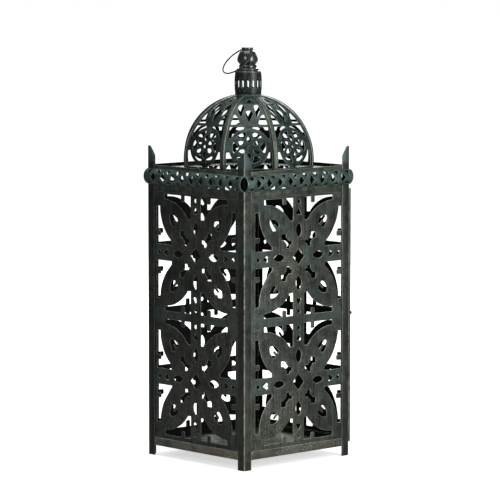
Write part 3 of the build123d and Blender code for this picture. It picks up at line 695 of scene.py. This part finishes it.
fx0, fy0, fx1, fy1 = floor_lo[0], floor_lo[1], floor_hi[0], floor_hi[1]
bm = fret([(fx0, fy0), (fx1, fy0), (fx1, fy1 - 1.3), (100, fy1 - 1.3), (100, fy1), (-100, fy1), (-100, fy1 - 1.3), (fx0, fy1 - 1.3)], [], floor_hi[2] - floor_lo[2], 0.3, cuts_between(fx0, fx1, 30), cuts_between(fy0, fy1, 30))
put(bm, "floor_plate_sheet", "lantern_body", ["floor_plate"], mats("floor_patina", streak=ALONG_X, verdigris=0.15, rub=0.1, rough=0.55, seed=15.0), lambda x, y, z: (x, y, floor_hi[2] + z - 0.4 * (1 - max(abs(x), abs(y)) / 118.0)))

# ------------------------------------------------------------------ dome
DR, DZ = 106.5, 505.0
TWIST = 3.0
GT = 1.2
RIBW = 6.0
RIB_OUT, RIB_IN = 1.2, 1.8
CROWN = 23.0
TH0 = math.asin((roof_hi[2] - DZ) / DR)
TH1 = math.acos(CROWN / DR)
TAN = math.tan(math.radians(22.5))
COS = math.cos(math.radians(22.5))


def half_w(th):
    return DR * math.cos(th) * TAN - (RIBW / 2) / COS


def lens(cx, cs, ang, length, width, n=6):
    L, W = length / 2, width / 2
    pts = [(-L + 2 * L * i / n, W * (1 - (-1 + 2 * i / n) ** 2)) for i in range(n + 1)]
    pts += [(L - 2 * L * i / n, -W * (1 - (1 - 2 * i / n) ** 2)) for i in range(1, n)]
    a = math.radians(ang)
    return [(cx + x * math.cos(a) - y * math.sin(a), cs + x * math.sin(a) + y * math.cos(a)) for x, y in pts]


MS = 24.5
RING_OUT = 33.8
B0, B1 = 60.5, 65.2


def pol(r, deg):
    return (r * math.cos(math.radians(deg)), MS + r * math.sin(math.radians(deg)))


def gore_holes(seed):
    H = []

    def add(pts, r=0.7):
        H.append(wander(soften(pts, r), seed + 0.13 * len(H), 0.3, 0.09))

    edge = lambda s: half_w(s / DR) - 2.6
    add([(3.3, MS), (0, MS + 3.9), (-3.3, MS), (0, MS - 3.9)], 0.6)
    for k in range(6):
        a = 90 + 60 * k
        add(lens(14.2 * math.cos(math.radians(a)), MS + 14.2 * math.sin(math.radians(a)), a, 12.4, 7.6), 0.6)
        b = a + 30
        add([pol(16.6, b), pol(19.2, b + 8), pol(22.6, b + 15), pol(26.2, b + 20.5), pol(27.6, b + 17), pol(27.6, b + 6), pol(27.6, b - 6), pol(27.6, b - 17), pol(26.2, b - 20.5), pol(22.6, b - 15), pol(19.2, b - 8)], 1.2)
    for sg in (1, -1):
        mir = lambda pts, sg=sg: [(sg * x, y) for x, y in pts]
        base = -11.0
        lo = [pol(RING_OUT, t) for t in range(-14, -88, -7)]
        lo = [p for p in lo if p[1] > base + 1.2]
        lo += [(3.5, base)] + [(edge(v), v) for v in (base, -6, 0, 5, 11)] + [(edge(lo[0][1]), lo[0][1])]
        add(mir(lo), 0.8)
        up = [pol(RING_OUT, t) for t in range(28, 80, 6)]
        up += [(5.2, 58.6), (6.2, B0)] + [(edge(v), v) for v in (B0, 56, 51, 46)] + [(edge(up[0][1]), up[0][1])]
        add(mir(up), 0.8)
        add(mir([(15.2, B1)] + [(edge(v), v) for v in (B1, 71, 77, 82, 86)] + [(edge(86) - 2.4, 85.6), (19.0, 80.5), (16.8, 73.5)]), 0.9)
        add(mir([(12.8, 79.5), (15.8, 86.2), (17.8, 92.5), (18.0, 99.5), (16.8, 106.0), (14.6, 110.6), (11.6, 111.8), (8.6, 109.6), (7.4, 105.2), (8.0, 100.2), (9.4, 95.2), (10.4, 90.2), (11.4, 85.2)]), 0.9)
    add([(0, 68.8), (2.9, 76.2), (5.7, 84.0), (6.4, 89.4), (4.8, 94.0), (0, 96.2), (-4.8, 94.0), (-6.4, 89.4), (-5.7, 84.0), (-2.9, 76.2)], 0.8)
    add([(0, 113.5), (3.4, 119.5), (3.2, 125.2), (0, 130.2), (-3.2, 125.2), (-3.4, 119.5)], 0.7)
    return H


def gore_warp(deg, seed):
    tr = turn(deg)

    def w(x, s, t):
        th = s / DR
        bulge = 0.25 * abs(noise.noise(Vector((x * 0.04 + seed, s * 0.04, seed * 2.0))))
        rho = DR + t - bulge
        return tr((rho * math.cos(th), x, DZ + rho * math.sin(th)))

    return w


S0, S1 = DR * TH0, DR * TH1
gv = [S0 + (S1 - S0) * i / 40 for i in range(41)]
gore_outer = [(half_w(v / DR) + 0.0, v) for v in gv] + [(-half_w(v / DR), v) for v in reversed(gv)]
for i in range(8):
    node = f"dome_gore_{i + 1}"
    bm = fret(gore_outer, gore_holes(i * 1.7 + 1), GT, 0.34, (), cuts_between(S0, S1, 3.6))
    put(bm, node + "_leaf", "lantern_body", [node], DOME, gore_warp(TWIST - 45 + 45 * i, i * 2.1), smooth=32)


def rib_bmesh():
    ro, ri = DR + RIB_OUT, DR - RIB_IN
    a0, a1 = math.asin((roof_hi[2] - DZ) / ro), math.acos(CROWN * COS / ro)
    n = 44
    w2, r = RIBW / 2, 0.7
    bm = bmesh.new()
    rings = []
    for i in range(n + 1):
        t = a0 + (a1 - a0) * i / n
        po = Vector((ro / COS * math.cos(t), 0, DZ + ro * math.sin(t)))
        pi = Vector((ri / COS * math.cos(t), 0, DZ + ri * math.sin(t)))
        if i == 0:
            po.z = pi.z = roof_hi[2]
        d = (po - pi).normalized()
        side = Vector((0, 1, 0))
        ring = []
        for (cx, cy) in ((1, 1), (-1, 1), (-1, -1), (1, -1)):
            for j in range(3):
                a = math.radians({(1, 1): 0, (-1, 1): 90, (-1, -1): 180, (1, -1): 270}[(cx, cy)] + 45 * j)
                # section plane: u along side, v outwards
                uu = cx * (w2 - r) + r * math.cos(a)
                vv = (1 if cy > 0 else -1)
                base = po - d * r if vv > 0 else pi + d * r
                ring.append(bm.verts.new(base + side * uu + d * (r * math.sin(a))))
        rings.append(ring)
    m = len(rings[0])
    for a, b in zip(rings[:-1], rings[1:]):
        for i in range(m):
            f = bm.faces.new((a[i], a[(i + 1) % m], b[(i + 1) % m], b[i]))
            f.material_index = 1 if i in (0, 1, 3, 4) else 0
    bm.faces.new(rings[0])
    bm.faces.new(list(reversed(rings[-1])))
    bmesh.ops.recalc_face_normals(bm, faces=bm.faces)
    return bm


def rib_warp(deg, seed):
    tr = turn(deg)

    def w(x, y, z):
        n = noise.noise(Vector((seed * 5.0, z * 0.05, 1.0)))
        return tr((x, y + 0.2 * n, z))

    return w


for i in range(8):
    node = f"dome_rib_{i + 1}"
    put(rib_bmesh(), node + "_strip", "lantern_body", [node], RIB, rib_warp(TWIST - 22.5 + 45 * i, i + 1), smooth=50)

# ------------------------------------------------------------------ turned pieces


def lathe(profile, n=96, closed=True, edge_z=None):
    """Turned piece from a closed (radius, height) outline in mm."""
    bm = bmesh.new()
    cols = []
    for i in range(n):
        a = 2 * math.pi * i / n
        c, s = math.cos(a), math.sin(a)
        cols.append([bm.verts.new((r * c, r * s, z)) for r, z in profile])
    m = len(profile)
    for i in range(n):
        a, b = cols[i], cols[(i + 1) % n]
        for j in range(m if closed else m - 1):
            k = (j + 1) % m
            if profile[j][0] < 1e-6 and profile[k][0] < 1e-6:
                continue
            bm.faces.new((a[j], b[j], b[k], a[k]))
    bmesh.ops.remove_doubles(bm, verts=bm.verts, dist=1e-4)
    bmesh.ops.recalc_face_normals(bm, faces=bm.faces)
    return bm


cz0, cz1 = crown_lo[2], crown_hi[2]
cr = crown_hi[0] - 0.02
prof = soften([(16.5, cz0), (cr, cz0), (cr, cz1), (16.5, cz1)], 0.8)
put(lathe(prof), "crown_ring_turned", "lantern_body", ["crown_ring"], FRAME, smooth=40)

LEAN = (-0.678, -0.735)


def shift(k):
    return lambda x, y, z: (x + LEAN[0] * k, y + LEAN[1] * k, z)


# collar: flat strip with slots and dots, rolled round with its ends meeting at the back
CR = 22.6
CL = 2 * math.pi * CR
CT = 1.2
kz0, kz1 = collar_lo[2], collar_hi[2]
H = []
for k in range(16):
    u = CL * (k + 0.5) / 16
    H.append(wander(outline((u - 2.3, 624.0), ((u, 621.8), (u + 2.1, 623.9)), (u + 2.3, 633.0), ((u, 635.2), (u - 2.1, 633.1))), k, 0.35, 0.3))
    if k:
        for z, r in ((639.0, 1.55), (618.8, 1.5)):
            H.append(circle(r, 14, CL * k / 16, z))
bm = fret([(0, kz0), (CL, kz0), (CL, kz1), (0, kz1)], H, CT, 0.3, cuts_between(0, CL, 1.5), cuts_between(kz0, kz1, 3.0))


def collar_warp(u, z, t):
    a = math.radians(146.25) + u / CR
    k = (z - (kz0 + kz1) / 2) / ((kz1 - kz0) / 2)
    r = CR + 0.42 - 1.25 * k * k + t
    return (r * math.cos(a) + LEAN[0] * 0.5, r * math.sin(a) + LEAN[1] * 0.5, z)


put(bm, "collar_rolled", "lantern_body", ["collar"], COLLAR, collar_warp, smooth=32)

n0 = kz1
neck = outline(
    (20.4, n0), (21.9, n0), ((22.0, n0 + 0.9), (20.9, n0 + 2.2)), (18.0, n0 + 3.4), ((18.6, n0 + 4.9), (16.9, n0 + 6.5)), (14.4, n0 + 7.7),
    ((15.0, n0 + 10.4), (13.7, n0 + 12.5)), (13.3, 661.5), (12.0, 661.5), (12.4, n0 + 8.5), (15.2, n0 + 5.5), (15.9, n0 + 2.9), (19.6, n0 + 1.2))
put(lathe(soften(neck, 0.6, 40)), "finial_neck_spun", "lantern_body", ["finial_neck"], FINIAL, shift(1.0), smooth=60)

bulb = outline((12.0, 661.5), (13.3, 661.5), ((15.6, 664.4), (17.4, 668.0)), ((16.9, 672.6), (15.2, 677.6)), ((13.9, 680.4), (12.0, 682.9)), (9.9, 684.4), (8.4, 684.4), (10.8, 682.3), ((12.7, 679.9), (14.0, 677.1)), ((15.6, 672.2), (16.1, 668.3)), ((14.4, 665.4), (12.0, 661.5)))
put(lathe(soften(bulb, 1.2, 14)), "finial_bulb_spun", "lantern_body", ["finial_bulb"], FINIAL, shift(1.5), smooth=60)

RAZ = -8.0
RZ = 686.8
RH = 8.95
cap = soften(outline((8.45, 684.4), (9.4, 684.4), ((9.75, 686.6), (9.5, 688.7)), ((9.1, 689.9), (8.1, 690.4)), (0, 690.7)), 0.3)
cap_in = [(0, 689.8), (7.9, 689.6), (8.25, 689.3), (8.4, 689.0), (8.5, 688.0)]
bm = lathe(outline((8.45, 684.4), (9.4, 684.4), ((9.75, 686.6), (9.5, 688.7)), ((9.1, 689.9), (8.1, 690.4)), (4.5, 690.65), (0, 690.7)) + cap_in, 120)
cap_ob = put(bm, "finial_cap_spun", "lantern_body", ["finial_cap"], FINIAL, shift(1.8), smooth=50)
# holes for the wire, drilled through both walls
ca, sa = math.cos(math.radians(RAZ)), math.sin(math.radians(RAZ))
drill = bmesh.new()
loops = []
for d in (-13.0, 13.0):
    loops.append([drill.verts.new(((d * ca - 1.9 * math.cos(t) * sa + LEAN[0] * 1.8) * MM, (d * sa + 1.9 * math.cos(t) * ca + LEAN[1] * 1.8) * MM, (RZ + 1.9 * math.sin(t)) * MM)) for t in [2 * math.pi * i / 32 for i in range(32)]])
for i in range(32):
    drill.faces.new((loops[0][i], loops[0][(i + 1) % 32], loops[1][(i + 1) % 32], loops[1][i]))
drill.faces.new(loops[0])
drill.faces.new(list(reversed(loops[1])))
bmesh.ops.recalc_face_normals(drill, faces=drill.faces)
dm = bpy.data.meshes.new("drill")
drill.to_mesh(dm)
drill.free()
dob = bpy.data.objects.new("drill", dm)
bpy.context.scene.collection.objects.link(dob)
md = cap_ob.modifiers.new("holes", "BOOLEAN")
md.operation = "DIFFERENCE"
md.solver = "EXACT"
md.object = dob
bpy.context.view_layer.update()
baked = bpy.data.meshes.new_from_object(cap_ob.evaluated_get(bpy.context.evaluated_depsgraph_get()))
cap_ob.modifiers.clear()
cap_ob.data = baked
for m in FINIAL:
    if m.name not in [q.name for q in baked.materials if q]:
        baked.materials.append(m)
baked.shade_smooth()
baked.set_sharp_from_angle(angle=math.radians(50))
bpy.data.objects.remove(dob)

# wire ring: a bent wire with its two ends butted inside the bulb
RM, RW = 29.3, 1.2
raz, rdr = math.radians(RAZ), math.radians(43.5)
hd = Vector((math.cos(raz), math.sin(raz), 0))
sd = Vector((math.sin(raz), -math.cos(raz), 0))
ru = sd * math.cos(rdr) + Vector((0, 0, -math.sin(rdr)))
rc = Vector((LEAN[0] * 1.8, LEAN[1] * 1.8, RZ)) + ru * math.sqrt(RM ** 2 - RH ** 2)
rn = hd.cross(ru)
bm = bmesh.new()
rings = []
N = 144
for i in range(N):
    a = 2 * math.pi * i / N
    rad = hd * math.cos(a) + ru * math.sin(a)
    wob = 0.15 * noise.noise(Vector((math.cos(a) * 1.5, math.sin(a) * 1.5, 3.0)))
    c = rc + rad * (RM + wob)
    ring = []
    for j in range(12):
        b = 2 * math.pi * j / 12
        ring.append(bm.verts.new(c + rad * (RW * math.cos(b)) + rn * (RW * math.sin(b))))
    rings.append(ring)
for i in range(N):
    a, b = rings[i], rings[(i + 1) % N]
    for j in range(12):
        bm.faces.new((a[j], b[j], b[(j + 1) % 12], a[(j + 1) % 12]))
put(bm, "hanging_ring_wire", "hanging_ring", ["hanging_ring"], WIRE, smooth=60)

# ------------------------------------------------------------------ door
dt = door_hi[1] - door_lo[1]
yo = door_hi[1]
kx = 112.25
kz = 242.0
hole = circle(1.9, 20, -kx, kz)
bm = panel_bmesh(door_lo[0], door_hi[0], door_lo[2], door_hi[2], dt, 9, [hole])
tr180 = turn(180)
put(bm, "door_panel_sheet", "door", ["door_panel"], PANEL, lambda x, y, z: tr180((x, -(yo + z), y)))
for node in ("door_stile_hinge_side", "door_stile_free_side", "door_rail_lower", "door_rail_upper"):
    lo, hi = nbox(node)
    put(bar_bmesh(lo, hi, 0.4), node + "_bar", "door", [node], RAIL_X if "rail" in node else FRAME)

klo, khi = nbox("door_knob")
ky = yo + 0.05
knob = outline((0, klo[1] - ky), (1.53, klo[1] - ky), (1.53, 0), (2.9, 0), (3.0, 0.8), (1.9, 1.4), (1.7, 3.4), ((3.1, 4.3), (3.3, 5.8)), ((2.9, 7.4), (1.6, 8.3)), (0, 8.3))
bm = lathe(knob, 48, closed=False)
put(bm, "door_knob_turned", "latch", ["door_knob"], HINGE, lambda x, y, z: (kx + x, ky + z, kz - y), smooth=45)
tlo, thi = nbox("latch_tongue")
put(bar_bmesh(tlo, thi, 0.3), "latch_tongue_bar", "latch", ["latch_tongue"], HINGE)

# ------------------------------------------------------------------ hinges
for node in ("hinge_frame_leaf_lower", "hinge_frame_leaf_upper", "hinge_door_leaf_lower", "hinge_door_leaf_upper", "hinge_pins"):
    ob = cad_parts[node]
    ob.data.materials.clear()
    for m in HINGE:
        ob.data.materials.append(m)
    md = ob.modifiers.new("edge", "BEVEL")
    md.width = 0.00022
    md.segments = 2
    md.limit_method = "ANGLE"
    md.angle_limit = math.radians(50)
    md.material = 1


def rivet_bmesh(centres, axis):
    """Domed rivet heads sitting on a hinge leaf."""
    total = bmesh.new()
    for c in centres:
        prof = [(0, 0)] + [(1.8 * math.sin(math.radians(90 - 15 * k)), 0.25 + 0.55 * math.sin(math.radians(15 * k))) for k in range(0, 7)]
        prof.insert(1, (1.8, 0))
        b = lathe(prof, 28, closed=False)
        for v in b.verts:
            x, y, z = v.co
            v.co = (c[0] - z, c[1] + x, c[2] + y) if axis == "x" else (c[0] + x, c[1] + z, c[2] + y)
        me = bpy.data.meshes.new("tmp")
        b.to_mesh(me)
        b.free()
        total.from_mesh(me)
        bpy.data.meshes.remove(me)
    bmesh.ops.recalc_face_normals(total, faces=total.faces)
    return total


for node, body, axis in (("hinge_rivets_frame", "lantern_body", "x"), ("hinge_rivets_door", "door", "y")):
    lo, hi = nbox(node)
    zs = [lo[2] + 1.8, lo[2] + 1.8 + 12, hi[2] - 1.8 - 12, hi[2] - 1.8]
    if axis == "x":
        cs = [(hi[0], (lo[1] + hi[1]) / 2, z) for z in zs]
    else:
        cs = [((lo[0] + hi[0]) / 2, lo[1], z) for z in zs]
    put(rivet_bmesh(cs, axis), node + "_heads", body, [node], HINGE, smooth=50)

# ------------------------------------------------------------------ stage, light, camera
FLOOR_GLOW, FLOOR_BOUNCE, AMBIENT = 0.62, 0.32, 0.13
floor_mat = bpy.data.materials.new("studio_floor")
floor_mat.use_nodes = True
nt, new, link = node_tools(floor_mat)
fo = new("ShaderNodeOutputMaterial")
seen = new("ShaderNodeMixShader")
path = new("ShaderNodeLightPath")
white = new("ShaderNodeBsdfDiffuse")
white.inputs[0].default_value = (0.9, 0.9, 0.9, 1)
glow = new("ShaderNodeEmission")
fc = new("ShaderNodeTexCoord")
reach = new("ShaderNodeVectorMath", operation="LENGTH")
link(fc.outputs["Object"], reach.inputs[0])
far = new("ShaderNodeMapRange", interpolation_type="SMOOTHSTEP")
far.inputs["From Min"].default_value = 0.35
far.inputs["From Max"].default_value = 1.3
far.inputs["To Min"].default_value = FLOOR_GLOW
far.inputs["To Max"].default_value = 1.0
link(reach.outputs["Value"], far.inputs["Value"])
link(far.outputs[0], glow.inputs[1])
add = new("ShaderNodeAddShader")
dull = new("ShaderNodeBsdfDiffuse")
dull.inputs[0].default_value = (FLOOR_BOUNCE, FLOOR_BOUNCE, FLOOR_BOUNCE, 1)
link(white.outputs[0], add.inputs[0])
link(glow.outputs[0], add.inputs[1])
link(path.outputs["Is Camera Ray"], seen.inputs[0])
link(dull.outputs[0], seen.inputs[1])
link(add.outputs[0], seen.inputs[2])
link(seen.outputs[0], fo.inputs[0])
bm = bmesh.new()
bmesh.ops.create_grid(bm, x_segments=8, y_segments=8, size=14.0)
me = bpy.data.meshes.new("floor")
bm.to_mesh(me)
bm.free()
me.materials.append(floor_mat)
floor = bpy.data.objects.new("studio_floor", me)
bpy.context.scene.collection.objects.link(floor)

AZ, EL = 47.325, 6.031
DIST = 5.491
LENS = 3259.0 / 500.0 * 36.0
a, e = math.radians(AZ), math.radians(EL)
back = Vector((math.sin(a) * math.cos(e), -math.cos(a) * math.cos(e), math.sin(e)))
right = Vector((math.cos(a), math.sin(a), 0))
toward = Vector((math.sin(a), -math.cos(a), 0))
target = right * 0.00258 + Vector((0, 0, 0.34862))
cam = bpy.data.cameras.new("camera")
cam.lens = LENS
cam.sensor_width = 36.0
cam.clip_end = 100.0
camera = bpy.data.objects.new("camera", cam)
bpy.context.scene.collection.objects.link(camera)
camera.location = target + back * DIST
camera.rotation_euler = (-back).to_track_quat("-Z", "Y").to_euler()
bpy.context.scene.camera = camera

world = bpy.data.worlds.new("studio")
bpy.context.scene.world = world
world.use_nodes = True
wn = world.node_tree
wn.nodes.clear()
wo = wn.nodes.new("ShaderNodeOutputWorld")
bg1 = wn.nodes.new("ShaderNodeBackground")
bg2 = wn.nodes.new("ShaderNodeBackground")
lp = wn.nodes.new("ShaderNodeLightPath")
mx = wn.nodes.new("ShaderNodeMixShader")
bg1.inputs[0].default_value = (1, 1, 1, 1)
bg1.inputs[1].default_value = AMBIENT
bg2.inputs[0].default_value = (1, 1, 1, 1)
bg2.inputs[1].default_value = 1.0
wn.links.new(lp.outputs["Is Camera Ray"], mx.inputs[0])
wn.links.new(bg1.outputs[0], mx.inputs[1])
wn.links.new(bg2.outputs[0], mx.inputs[2])
wn.links.new(mx.outputs[0], wo.inputs[0])


def softbox(name, where, at, size, power, shape="RECTANGLE", size_y=None):
    l = bpy.data.lights.new(name, "AREA")
    l.shape = shape
    l.size = size
    l.size_y = size_y or size
    l.energy = power
    o = bpy.data.objects.new(name, l)
    o.location = where
    o.rotation_euler = (Vector(at) - Vector(where)).to_track_quat("-Z", "Y").to_euler()
    bpy.context.scene.collection.objects.link(o)
    return o


mid = Vector((0, 0, 0.36))
# tall softbox to the right of the view, a smaller one to its left, a wide one overhead
softbox("key_right", mid + right * 1.15 + toward * 1.05 + Vector((0, 0, 0.35)), mid, 0.55, 24, size_y=1.5)
softbox("fill_left", mid - right * 1.25 + toward * 2.45 + Vector((0, 0, 1.35)), mid, 0.55, 17, size_y=0.9)
softbox("back_fill", mid - toward * 2.6 + right * 0.3 + Vector((0, 0, 1.1)), mid, 1.4, 30)
softbox("overhead", mid + Vector((0, 0, 2.6)) + toward * 0.1, mid, 2.4, 50)

scene = bpy.context.scene
scene.view_settings.view_transform = "Standard"
scene.view_settings.look = "None"
scene.view_settings.exposure = 0.0
